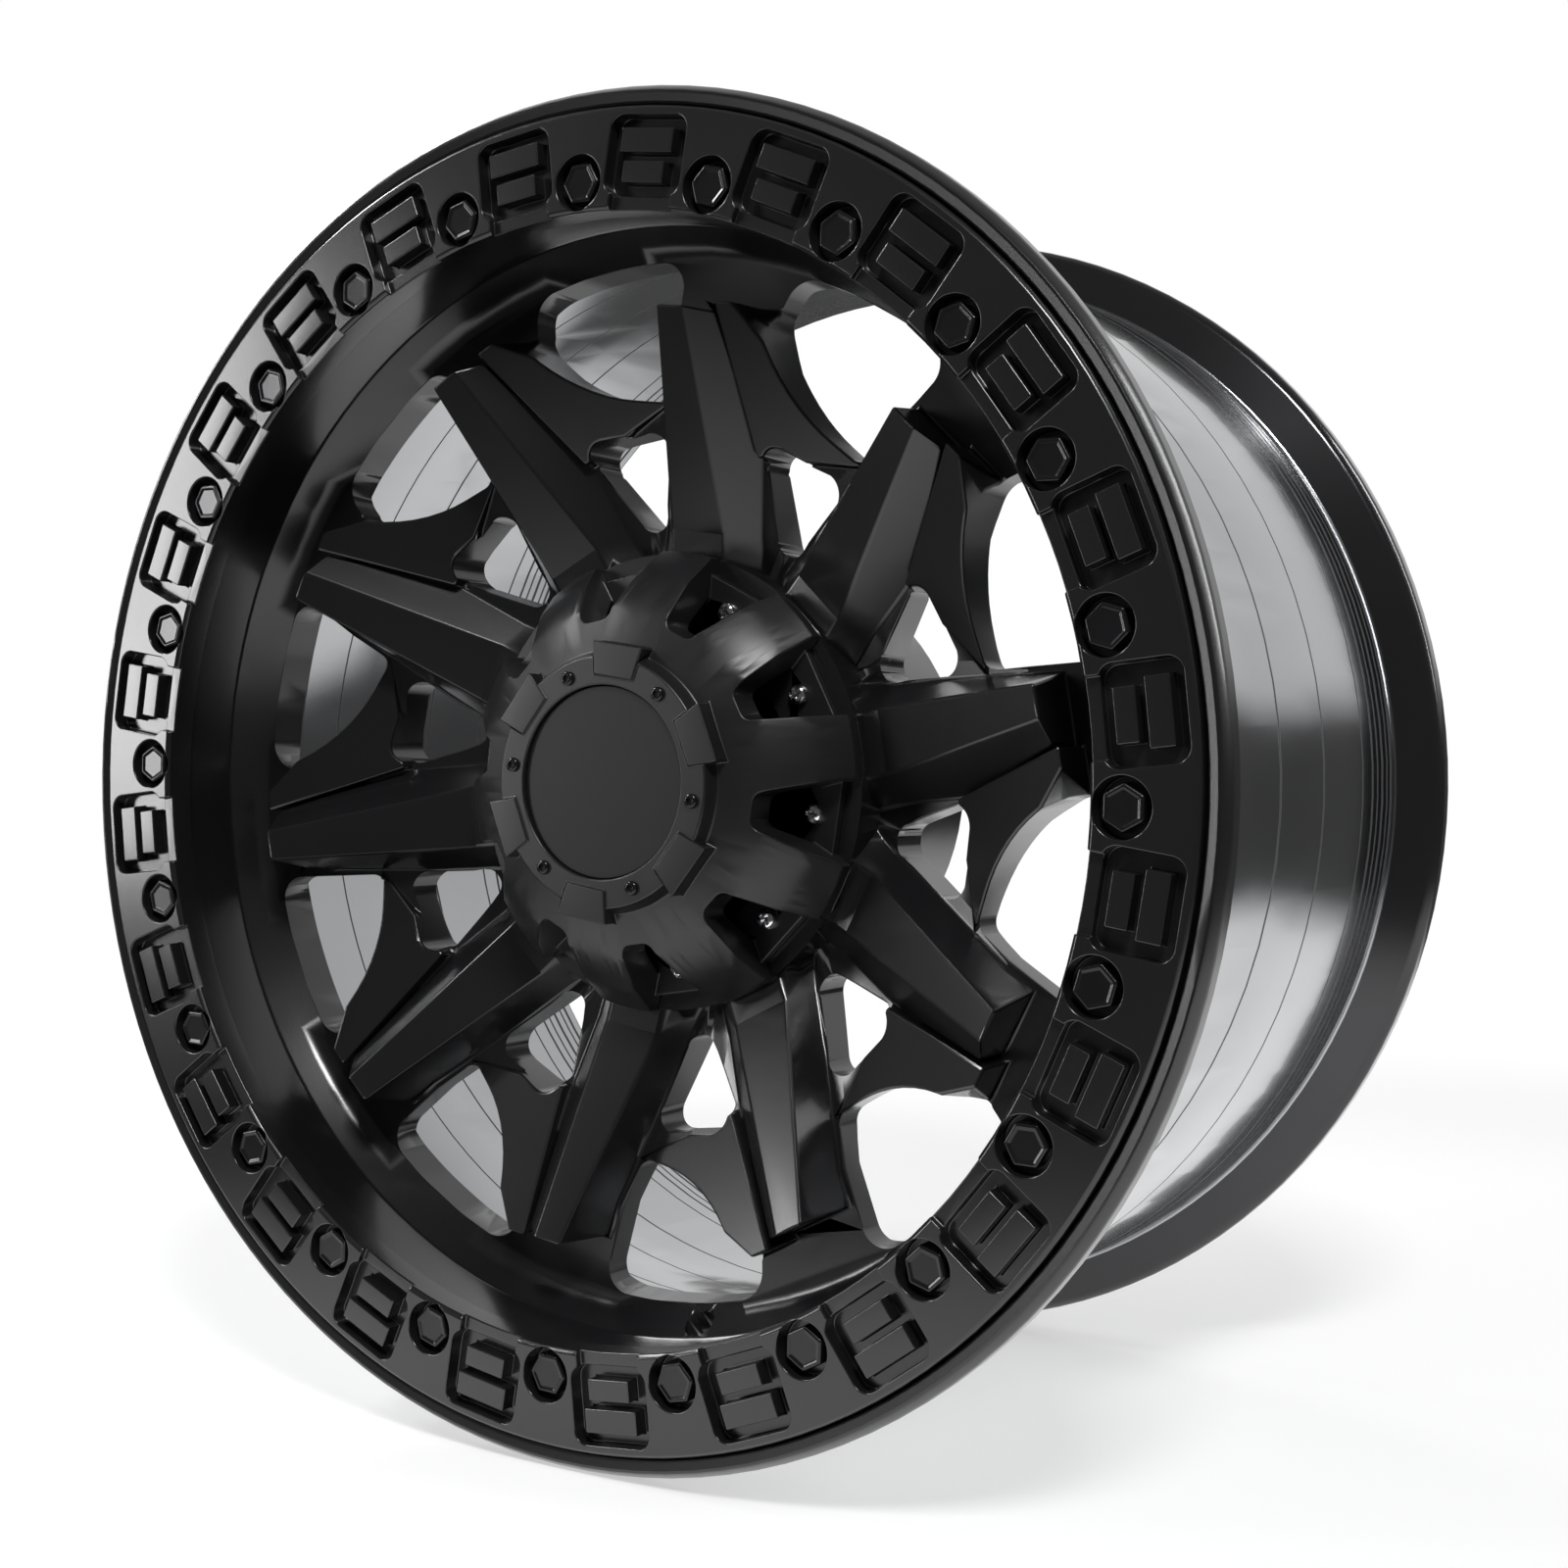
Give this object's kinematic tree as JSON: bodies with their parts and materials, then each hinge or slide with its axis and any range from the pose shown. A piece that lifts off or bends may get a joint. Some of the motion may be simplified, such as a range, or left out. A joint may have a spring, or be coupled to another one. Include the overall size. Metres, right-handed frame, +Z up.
{
  "type": "wheel rim",
  "caption": "Satin black off-road wheel rim with tapered spokes, a bolted lip ring, and an armed centre cap over the hub.",
  "frame": {"origin": "centre of the rim on the axle axis, halfway between the lip ring's front face and the rear flange", "axes": "+Y along the axle from the styled face to the vehicle side, +Z up as pictured, +X to the right"},
  "size_m": [0.4712, 0.254, 0.4712],
  "materials": {
    "wheel_casting": "satin black paint",
    "lip_ring": "satin black paint",
    "ring_bolts": "black coated steel",
    "centre_cap": "satin black paint",
    "cap_disc": "satin black paint",
    "cap_screws": "bright plated steel",
    "collar_screws": "black coated steel"
  },
  "bodies": {
    "root": {"wheel_casting": "wheel_casting", "lip_ring": "lip_ring", "ring_bolts": "ring_bolts", "centre_cap": "centre_cap", "cap_disc": "cap_disc", "cap_screws": "cap_screws", "collar_screws": "collar_screws"}
  },
  "joints": []
}
